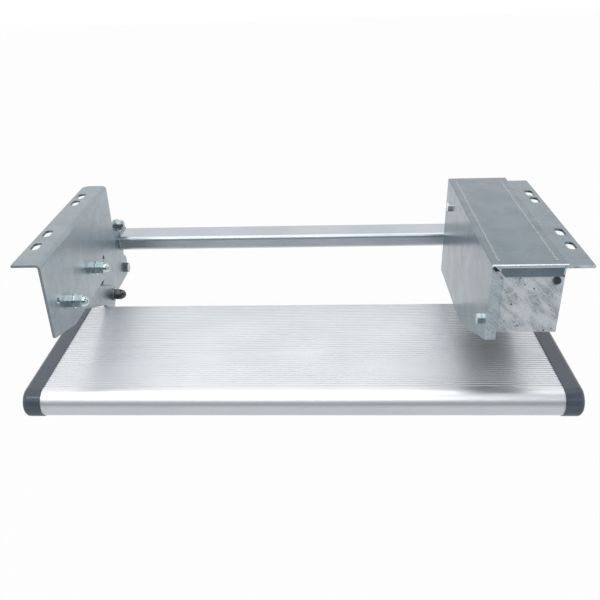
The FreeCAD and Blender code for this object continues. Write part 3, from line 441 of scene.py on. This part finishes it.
def scratch_marks(tree, place):
    """1 on long thin scratches that cross at several angles."""
    marks = 0.0
    for angle, width, cut in SCRATCHES:
        run = stretched(tree, place, (SCRATCH_LENGTH, 1, width * MM), (0, math.radians(angle), 0), 1.0)
        thin = add(tree, "ShaderNodeMapRange", {0: run, 1: cut, 2: cut + 0.05}).outputs[0]
        marks = add(tree, "ShaderNodeMath", {0: thin, 1: marks}, operation="MAXIMUM").outputs[0]
    return marks


def rare_specks(tree, place):
    """1 on small round specks, in the few cells whose random colour is bright."""
    cells = add(tree, "ShaderNodeTexVoronoi", {"Vector": place, "Scale": SPECK_CELLS_PER_METRE}).outputs
    pick = add(tree, "ShaderNodeRGBToBW", {0: cells["Color"]}).outputs[0]
    rare = add(tree, "ShaderNodeMapRange", {0: pick, 1: 0.67, 2: 0.69}).outputs[0]
    small = add(tree, "ShaderNodeMapRange", {0: cells["Distance"], 1: 0.17, 2: 0.10}).outputs[0]
    return add(tree, "ShaderNodeMath", {0: small, 1: rare}, operation="MULTIPLY").outputs[0]


print("scratches at degrees:", [angle for angle, *_ in SCRATCHES])

# %% [markdown]
# ## Zinc bloom and painted light on the housing's front
# Over the scratched front lies a dull white bloom of zinc oxide, denser in patches. Its pale tone is
# partly painted light as well: it stands in for the light that falls on the front faces from the
# front. Oxide is no metal, so metallic drops there and the face goes pale and even. The bloom lies
# on the boxed bracket's front face, and with fewer marks on the cover's lips in front of it.

# %% The pale front, partly painted light, and its scratches
BLOOM_PATCH = (24 * MM, 1, 9 * MM)
BLOOM_TURN = (0, math.radians(48), 0)
GRAIN = (0.9 * MM, 0.9 * MM, 0.9 * MM)
GRAIN_GREY, SCRATCH_WHITE, SPECK_BROWN = "#7F888D", "#E6EAEB", "#4B4A47"
BLOOM_METALLIC = 0.35
BLOOM_ROUGHNESS = 0.42


def front_mask(tree, split, plane, top, side):
    """1 in front of a plane, where it is also below top or left of side."""
    front = add(tree, "ShaderNodeMapRange", {0: split["Y"], 1: plane + 0.3 * MM, 2: plane}).outputs[0]
    below = add(tree, "ShaderNodeMapRange", {0: split["Z"], 1: top, 2: top - 1.5 * MM}).outputs[0]
    left = add(tree, "ShaderNodeMapRange", {0: split["X"], 1: side + MASK_BLUR, 2: side}).outputs[0]
    either = add(tree, "ShaderNodeMath", {0: below, 1: left}, operation="MAXIMUM").outputs[0]
    return add(tree, "ShaderNodeMath", {0: front, 1: either}, operation="MULTIPLY").outputs[0]


def pale_lit_front_with_scratches(material, plane, top, side, pale_lit_tone, dark, scratched):
    """Zinc bloom and painted front light, scratches and specks in front of a plane. scratched goes from 0 to
    1.
    """
    tree, shader, place, split = reopened(material)
    front = front_mask(tree, split, plane, top, side)
    wavy = bent_places(tree, place)
    marks = scratch_marks(tree, wavy)
    patch = stretched(tree, wavy, BLOOM_PATCH, BLOOM_TURN, 7.0)
    bloom_and_painted_light = add(tree, "ShaderNodeMapRange", {0: patch, 1: 0.42, 2: 0.56}).outputs[0]
    grain = stretched(tree, place, GRAIN)
    mottle = add(tree, "ShaderNodeMapRange", {0: grain, 1: 0.40, 2: 0.62, 4: 0.34}).outputs[0]
    bright = add(tree, "ShaderNodeMath", {0: marks, 1: 0.85 * scratched}, operation="MULTIPLY").outputs[0]
    speck = add(tree, "ShaderNodeMath", {0: rare_specks(tree, wavy), 1: scratched},
                operation="MULTIPLY").outputs[0]
    colour = tone(dark)
    for mask, code in ((bloom_and_painted_light, pale_lit_tone), (mottle, GRAIN_GREY), (bright, SCRATCH_WHITE), (speck, SPECK_BROWN)):
        colour = add(tree, "ShaderNodeMix", {0: mask, 6: colour, 7: tone(code)}, data_type="RGBA").outputs[2]
    lay_over(tree, shader, front, colour)

    metal = add(tree, "ShaderNodeMapRange", {0: front, 3: 1.0, 4: BLOOM_METALLIC}).outputs[0]
    tree.links.new(metal, shader.inputs["Metallic"])
    below = shader.inputs["Roughness"].links[0].from_socket
    mixed = add(tree, "ShaderNodeMix", {0: front, 2: below, 3: BLOOM_ROUGHNESS}, data_type="FLOAT")
    tree.links.new(mixed.outputs[0], shader.inputs["Roughness"])
    height = add(tree, "ShaderNodeMath", {0: marks, 1: front}, operation="MULTIPLY").outputs[0]
    below = shader.inputs["Normal"].links[0].from_socket
    bump = add(tree, "ShaderNodeBump", {"Strength": 0.3 * scratched, "Distance": 0.12 * MM,
                                        "Height": height, "Normal": below})
    tree.links.new(bump.outputs[0], shader.inputs["Normal"])


# A level of one metre lies above everything, so the bracket's whole front face is picked.
WHOLE_FACE = 1.0
PLANE_DEPTH = 0.4 * MM
LIP_WIDTH = 8 * MM
LIP_TOP = -11 * MM
cover_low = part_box("housing_cover")[0]
face_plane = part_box("right_bracket")[0].y + PLANE_DEPTH
lip_plane = cover_low.y + PLANE_DEPTH
# The pale tones below are partly painted light from the front, laid on the front faces, with real scratches
# and specks.
pale_lit_front_with_scratches(boxed_sheet, face_plane, WHOLE_FACE, WHOLE_FACE, "#F4F8FB", "#B8C1C8", 1.0)
pale_lit_front_with_scratches(cover_sheet, lip_plane, LIP_TOP, cover_low.x + LIP_WIDTH, "#C9D6DE", "#B4C2CB", 0.4)
print("front planes in millimetres:", round(face_plane / MM, 2), round(lip_plane / MM, 2))

# %% [markdown]
# ## Anodised aluminium
# The tread is one extrusion of a soft aluminium alloy, brushed and then anodised clear. The oxide
# makes it pale and a little milky, so metallic stays under 1, with a satin gloss that mirrors only
# what is close above it. The die leaves long straight lines along the tread. They are drawn about
# 0.6 mm wide, a little coarser than real ones, so that they show at all in a picture of the whole
# step. The plated tube behind the tread is made the same way, as a greyer and glossier metal.

# %% Anodised aluminium and the drawn tube
LINE_LENGTH = 2500 * MM
DRAWN_CLOUD = (70 * MM, 50 * MM, 50 * MM)


def drawn_metal(name, light, dark, metallic, roughness, line_width):
    """Metal pushed or pulled through a die along X: straight lines and an even satin face."""
    material, tree, shader, place = new_finish(name, Metallic=metallic)
    lines = stretched(tree, place, (LINE_LENGTH, line_width, line_width), detail=2.0)
    cloud = stretched(tree, place, DRAWN_CLOUD)
    total = add(tree, "ShaderNodeMath", {0: lines, 1: cloud}, operation="ADD").outputs[0]
    two_tones(tree, shader, total, (0.75, 1.25), dark, light)
    two_glosses(tree, shader, total, (0.7, 1.3), roughness + 0.03, roughness - 0.03)
    ridge = add(tree, "ShaderNodeBump", {"Strength": 0.02, "Distance": 0.04 * MM, "Height": lines})
    tree.links.new(ridge.outputs[0], shader.inputs["Normal"])
    return material


anodised = drawn_metal("clear_anodised_aluminium", "#F6F8FA", "#EDF0F3", 0.80, 0.38, 0.6 * MM)
plated_tube = drawn_metal("clear_zinc_plated_tube", "#C8CED4", "#BCC4CB", 0.84, 0.33, 0.8 * MM)
print("drawn metals:", anodised.name, plated_tube.name)

# %% [markdown]
# ## Plated fasteners
# The nuts, bolts and washers are turned steel with a bright zinc plate and a blue passivation, which
# gives a pale metal with soft blue-green patches. The two cap nuts at the lower links are plated
# black, and the hardware at the top of the hangers is plain zinc, as grey as the sheet. Small
# turned pieces keep faint rings from the tool, too fine to see here, so soft cloudy colour and
# rounded edges do the work.

# %% Plated fasteners, turned steel and bronze
PLATE_PATCH = (5 * MM, 5 * MM, 5 * MM)


def plated(name, main, tint, roughness):
    """Small bright pieces with soft patches of a second colour."""
    material, tree, shader, place = new_finish(name, Metallic=1.0)
    patch = stretched(tree, place, PLATE_PATCH)
    two_tones(tree, shader, patch, (0.44, 0.62), main, tint)
    two_glosses(tree, shader, patch, (0.35, 0.65), roughness, roughness + 0.10)
    soft = add(tree, "ShaderNodeBevel", {"Radius": 0.5 * MM}, samples=4).outputs["Normal"]
    tree.links.new(soft, shader.inputs["Normal"])
    return material


zinc_plate = plated("blue_passivated_zinc", "#CDD3D5", "#A6BCC0", 0.11)
plain_zinc = plated("clear_zinc_plate", "#B7BFC3", "#98A2A8", 0.20)
black_zinc = plated("black_zinc_plate", "#4A4F52", "#6A7073", 0.20)
turned_steel = plated("turned_steel_oiled", "#B9BBBC", "#A7A39B", 0.25)
bearing_bronze = plated("sintered_bronze", "#C9A46A", "#A8804A", 0.42)
turned = (zinc_plate, plain_zinc, black_zinc, turned_steel, bearing_bronze)
print("plated and turned metals:", [metal.name for metal in turned])

# %% [markdown]
# ## Cast aluminium
# The gear case is die cast, then shot blasted: a light grey metal with a fine pitted skin. Noise of
# about half a millimetre drives the colour, the bump and the roughness, since the pits scatter
# light.

# %% Cast aluminium
PIT_SIZE = (0.5 * MM, 0.5 * MM, 0.5 * MM)

cast_metal, tree, shader, place = new_finish("die_cast_aluminium", Metallic=1.0)
pits = stretched(tree, place, PIT_SIZE, detail=4.0)
two_tones(tree, shader, pits, (0.35, 0.65), "#A9ACAD", "#C6C8C9")
two_glosses(tree, shader, pits, (0.3, 0.7), 0.58, 0.44)
bump = add(tree, "ShaderNodeBump", {"Strength": 0.4, "Distance": 0.1 * MM, "Height": pits})
tree.links.new(bump.outputs[0], shader.inputs["Normal"])
print("cast metal:", cast_metal.name)

# %% [markdown]
# ## Plastic, rubber and paint
# None of these conduct, so metallic stays 0 and the colour is the body's own. The tread's ends are
# moulded polypropylene in slate grey with a fine eroded grain, and a gloss that draws a thin white
# line along their rounded corners. The motor's end is a matt black moulding, its can is stoved
# enamel, and the grommet is dull rubber.

# %% Plastic, rubber and paint
BODY_CLOUD = (22 * MM, 22 * MM, 22 * MM)


def moulded(name, main, second, roughness, grain, depth):
    """A non-metal with cloudy colour and a fine grain of the given size and depth."""
    material, tree, shader, place = new_finish(name)
    fine = stretched(tree, place, (grain, grain, grain), detail=2.0)
    two_tones(tree, shader, stretched(tree, place, BODY_CLOUD, detail=4.0), (0.35, 0.65), main, second)
    two_glosses(tree, shader, fine, (0.3, 0.7), roughness - 0.04, roughness + 0.05)
    soft = add(tree, "ShaderNodeBevel", {"Radius": 0.4 * MM}, samples=4).outputs["Normal"]
    bump = add(tree, "ShaderNodeBump", {"Strength": 0.25, "Distance": depth, "Height": fine, "Normal": soft})
    tree.links.new(bump.outputs[0], shader.inputs["Normal"])
    return material


slate_plastic = moulded("slate_grey_polypropylene", "#5B6672", "#55606C", 0.20, 0.4 * MM, 0.02 * MM)
black_plastic = moulded("matt_black_nylon", "#232425", "#1D1E1F", 0.52, 0.5 * MM, 0.05 * MM)
rubber = moulded("moulded_black_rubber", "#1B1B1B", "#262626", 0.72, 0.6 * MM, 0.05 * MM)
enamel = moulded("black_stoved_enamel", "#1C1D1F", "#222326", 0.28, 1.2 * MM, 0.04 * MM)
print("non-metals:", [body.name for body in (slate_plastic, black_plastic, rubber, enamel)])

# %% [markdown]
# ## Which piece has which finish
# A dictionary reads like a parts list. Each solid keeps its mesh and only gets its material.

# %% Give every solid its finish
FINISHES = {
    zinc_sheet: ["left_bracket", "left_hanger", "right_hanger"],
    boxed_sheet: ["right_bracket"],
    cover_sheet: ["housing_cover"],
    bar_sheet: ["left_front_arm", "right_front_arm", "left_rear_arm", "right_rear_arm"],
    anodised: ["tread"],
    plated_tube: ["cross_tube"],
    plain_zinc: ["top_studs", "top_washers", "top_nuts", "link_bolts", "link_washers", "link_nuts"],
    zinc_plate: ["pivot_bushes", "pivot_bolts", "pivot_washers", "pivot_nuts", "pivot_dome_nuts",
                 "cover_screws", "gear_case_screws", "shaft_washer", "shaft_nut",
                 "link_bushes", "tread_bolts", "tread_nuts"],
    black_zinc: ["front_rivet", "link_dome_nuts"],
    turned_steel: ["output_shaft"],
    bearing_bronze: ["shaft_bush"],
    cast_metal: ["gear_case"],
    enamel: ["motor_can"],
    black_plastic: ["motor_end"],
    slate_plastic: ["left_end_cap", "right_end_cap"],
    rubber: ["cable_grommet"],
}
for finish, names in FINISHES.items():
    for name in names:
        nodes[name].data.materials.clear()
        nodes[name].data.materials.append(finish)
dressed = sum(len(names) for names in FINISHES.values())
print("finishes:", len(FINISHES), "solids dressed:", dressed, "of", len(nodes))

# %% [markdown]
# ## Growing small repeats
# Weld beads and screw threads are one small shape that follows a rule, which is work for Geometry
# Nodes. Each tree takes bare points, one for every bead or thread, and named sizes. It draws a path,
# sweeps a small section along it, puts a copy on each point, makes the copies real and gives them
# their finish. The result is kept as a plain mesh, and the modifier is gone before the piece is
# handed to its body.

# %% Helpers that open a tree and keep its result
QUARTER = math.pi / 2


def new_growth(name, sizes):
    """A Geometry Nodes tree with named sizes, a turn and a finish, and its input node's outputs."""
    tree = bpy.data.node_groups.new(name, "GeometryNodeTree")
    tree.interface.new_socket("Geometry", in_out="OUTPUT", socket_type="NodeSocketGeometry")
    tree.interface.new_socket("Places", in_out="INPUT", socket_type="NodeSocketGeometry")
    for label in sizes:
        tree.interface.new_socket(label, in_out="INPUT", socket_type="NodeSocketFloat")
    tree.interface.new_socket("Turn", in_out="INPUT", socket_type="NodeSocketVector")
    tree.interface.new_socket("Finish", in_out="INPUT", socket_type="NodeSocketMaterial")
    return tree, add(tree, "NodeGroupInput").outputs


def end_growth(tree, given, shape):
    """Copy a shape onto the places, turn the copies, make them real and give them the finish."""
    copies = add(tree, "GeometryNodeInstanceOnPoints", {"Points": given["Places"], "Instance": shape,
                                                        "Rotation": given["Turn"]}).outputs[0]
    real = add(tree, "GeometryNodeRealizeInstances", {0: copies}).outputs[0]
    dressed = add(tree, "GeometryNodeSetMaterial", {"Geometry": real, "Material": given["Finish"]})
    add(tree, "NodeGroupOutput", {"Geometry": dressed.outputs[0]})


def grow(name, tree, places, body, slot, **sizes):
    """Run a tree on the places and keep its result as a plain mesh on a body."""
    points = bpy.data.meshes.new(name + "_places")
    points.from_pydata(places, [], [])
    seed = bpy.data.objects.new(name + "_places", points)
    scene.collection.objects.link(seed)
    modifier = seed.modifiers.new("growth", "NODES")
    modifier.node_group = tree
    for item in tree.interface.items_tree:
        if item.in_out == "INPUT" and item.name in sizes:
            modifier[item.identifier] = sizes[item.name]
    grown = seed.evaluated_get(bpy.context.evaluated_depsgraph_get())
    mesh = bpy.data.meshes.new_from_object(grown)
    seed.modifiers.clear()
    bpy.data.objects.remove(seed)

    # A sweep's caps have points of their own, so doubled points are joined and faces turned outward.
    shell = bmesh.new()
    shell.from_mesh(mesh)
    bmesh.ops.remove_doubles(shell, verts=shell.verts, dist=0.001 * MM)
    bmesh.ops.recalc_face_normals(shell, faces=shell.faces)
    shell.to_mesh(mesh)
    shell.free()
    mesh.name = name
    piece = bpy.data.objects.new(name, mesh)
    scene.collection.objects.link(piece)
    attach(piece, body)
    print(name, "on", len(places), "places,", len(mesh.polygons), "faces")
    return piece


print("a quarter turn in radians:", round(QUARTER, 4))

# %% [markdown]
# ## Weld beads round the tube's ends
# The cross tube is welded to both hangers. A bead is a string of overlapping drops, about 2 mm
# apart, that runs round the tube's outline: a rectangle with rounded corners, swept with a circle
# that swells and shrinks along the way.

# %% Weld beads
BEAD_RADIUS = 1.5 * MM
BEAD_SWELL = 0.14
BEAD_INSET = 0.4 * MM
TUBE_CORNER = 6 * MM
DROPS_ROUND = 50
POINTS_PER_DROP = 6.0

beads, given = new_growth("weld_bead_tree", ["Depth", "Height", "Corner", "Bead", "Drop"])
outline = add(beads, "GeometryNodeCurvePrimitiveQuadrilateral",
              {"Width": given["Depth"], "Height": given["Height"]}).outputs[0]
rounded = add(beads, "GeometryNodeFilletCurve", {"Curve": outline, "Radius": given["Corner"]},
              mode="BEZIER").outputs[0]
step = add(beads, "ShaderNodeMath", {0: given["Drop"], 1: POINTS_PER_DROP}, operation="DIVIDE").outputs[0]
path = add(beads, "GeometryNodeResampleCurve", {"Curve": rounded, "Length": step}, mode="LENGTH").outputs[0]
along = add(beads, "GeometryNodeSplineParameter").outputs["Length"]
drops = add(beads, "ShaderNodeMath", {0: along, 1: given["Drop"]}, operation="DIVIDE").outputs[0]
phase = add(beads, "ShaderNodeMath", {0: drops, 1: 2 * math.pi}, operation="MULTIPLY").outputs[0]
wave = add(beads, "ShaderNodeMath", {0: phase}, operation="SINE").outputs[0]
swell = add(beads, "ShaderNodeMath", {0: wave, 1: BEAD_SWELL, 2: 1.0}, operation="MULTIPLY_ADD").outputs[0]
section = add(beads, "GeometryNodeCurvePrimitiveCircle",
              {"Resolution": 8, "Radius": given["Bead"]}).outputs[0]
bead = add(beads, "GeometryNodeCurveToMesh", {"Curve": path, "Profile Curve": section, "Scale": swell})
end_growth(beads, given, bead.outputs[0])

tube_low, tube_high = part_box("cross_tube")
tube_depth, tube_height = tube_high.y - tube_low.y, tube_high.z - tube_low.z
middle = (tube_low + tube_high) / 2
round_length = 2 * (tube_depth + tube_height) - (8 - 2 * math.pi) * TUBE_CORNER
ends = [(side * (tube_high.x - BEAD_INSET), middle.y, middle.z) for side in (-1, 1)]
grow("tube_weld_beads", beads, ends, "tread_carriage", "plated_tube", Depth=tube_depth,
     Height=tube_height, Corner=TUBE_CORNER, Bead=BEAD_RADIUS, Drop=round_length / DROPS_ROUND,
     Turn=(QUARTER, 0, QUARTER), Finish=zinc_sheet)

# %% [markdown]
# ## Threads where bolts stick out of their nuts
# Two millimetres of each bolt stand past its nut, a turn and a half of thread. A helix carries a
# small three-sided ridge, half sunk in the bolt's own cylinder. M8 has a pitch of 1.25 mm and M6 of
# 1 mm. All of them are right-handed, and a turn by a quarter lays the helix along X.

# %% The thread's tree
RIDGE = 0.42 * MM
PAST_NUT = 2 * MM
THREAD_LENGTH = PAST_NUT - 2 * RIDGE
M8_THREAD = {"Radius": 4 * MM, "Pitch": 1.25 * MM, "Length": THREAD_LENGTH, "Ridge": RIDGE}
M6_THREAD = {"Radius": 3 * MM, "Pitch": 1.0 * MM, "Length": THREAD_LENGTH, "Ridge": RIDGE}
ALONG_X, ALONG_Z = (0, QUARTER, 0), (0, 0, 0)

threads, given = new_growth("thread_tree", ["Radius", "Pitch", "Length", "Ridge"])
turns = add(threads, "ShaderNodeMath", {0: given["Length"], 1: given["Pitch"]},
            operation="DIVIDE").outputs[0]
helix = add(threads, "GeometryNodeCurveSpiral",
            {"Resolution": 24, "Rotations": turns, "Start Radius": given["Radius"],
             "End Radius": given["Radius"], "Height": given["Length"]}).outputs[0]
section = add(threads, "GeometryNodeCurvePrimitiveCircle",
              {"Resolution": 3, "Radius": given["Ridge"]}).outputs[0]
ridge = add(threads, "GeometryNodeCurveToMesh",
            {"Curve": helix, "Profile Curve": section, "Fill Caps": True}).outputs[0]
half = add(threads, "ShaderNodeMath", {0: given["Length"], 1: -0.5}, operation="MULTIPLY").outputs[0]
shift = add(threads, "ShaderNodeCombineXYZ", {"Z": half}).outputs[0]
centred = add(threads, "GeometryNodeTransform", {"Geometry": ridge, "Translation": shift}).outputs[0]
end_growth(threads, given, centred)
print("turns of an M8 thread:", round(THREAD_LENGTH / M8_THREAD["Pitch"], 2))

# %% [markdown]
# ## Threads on the studs, links, shaft and tread bolts
# The solids say where the threads go. A bolt's end is the largest or the smallest reach of its
# mesh, and the middle of the bare thread lies a millimetre behind it. The bolt's axis is the middle
# of its nut, which is as wide to both sides.

# %% Threads on their bolts
def thread_middle(node, outward):
    """How far out the bare thread's middle lies on a mirrored pair along X."""
    reach = [abs(vertex.co.x) for vertex in nodes[node].data.vertices]
    return max(reach) - PAST_NUT / 2 if outward else min(reach) + PAST_NUT / 2


def mirrored_pair(reach, axis_box):
    """Two places at the same reach left and right, on the middle line of a box."""
    axis = (axis_box[0] + axis_box[1]) / 2
    return [(side * reach, axis.y, axis.z) for side in (-1, 1)]


stud_places = mirrored_pair(thread_middle("top_studs", False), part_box("top_studs"))
link_places = mirrored_pair(thread_middle("link_bolts", True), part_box("link_nuts"))
grow("stud_threads", threads, stud_places, "tread_carriage", "zinc_fasteners", **M8_THREAD,
     Turn=ALONG_X, Finish=plain_zinc)
grow("link_threads", threads, link_places, "tread_carriage", "zinc_fasteners", **M8_THREAD,
     Turn=ALONG_X, Finish=plain_zinc)

shaft_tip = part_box("output_shaft")[1].x - PAST_NUT / 2
shaft_place = mirrored_pair(shaft_tip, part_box("shaft_nut"))[1]
grow("shaft_thread", threads, [shaft_place], "drive_arm", "plain_steel", **M8_THREAD,
     Turn=ALONG_X, Finish=turned_steel)

# The tread's M6 nuts stand with a corner outward and their flats to the front and back.
NUT_HALF_FLAT = 5 * MM
NUT_HALF_WIDTH = NUT_HALF_FLAT / math.cos(math.radians(30))
foot_low, foot_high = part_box("tread_nuts")
bolt_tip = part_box("tread_bolts")[0].z + PAST_NUT / 2
foot_places = [(side * (foot_high.x - NUT_HALF_WIDTH), depth, bolt_tip) for side in (-1, 1)
               for depth in (foot_low.y + NUT_HALF_FLAT, foot_high.y - NUT_HALF_FLAT)]
grow("tread_bolt_threads", threads, foot_places, "tread_carriage", "zinc_fasteners", **M6_THREAD,
     Turn=ALONG_Z, Finish=zinc_plate)
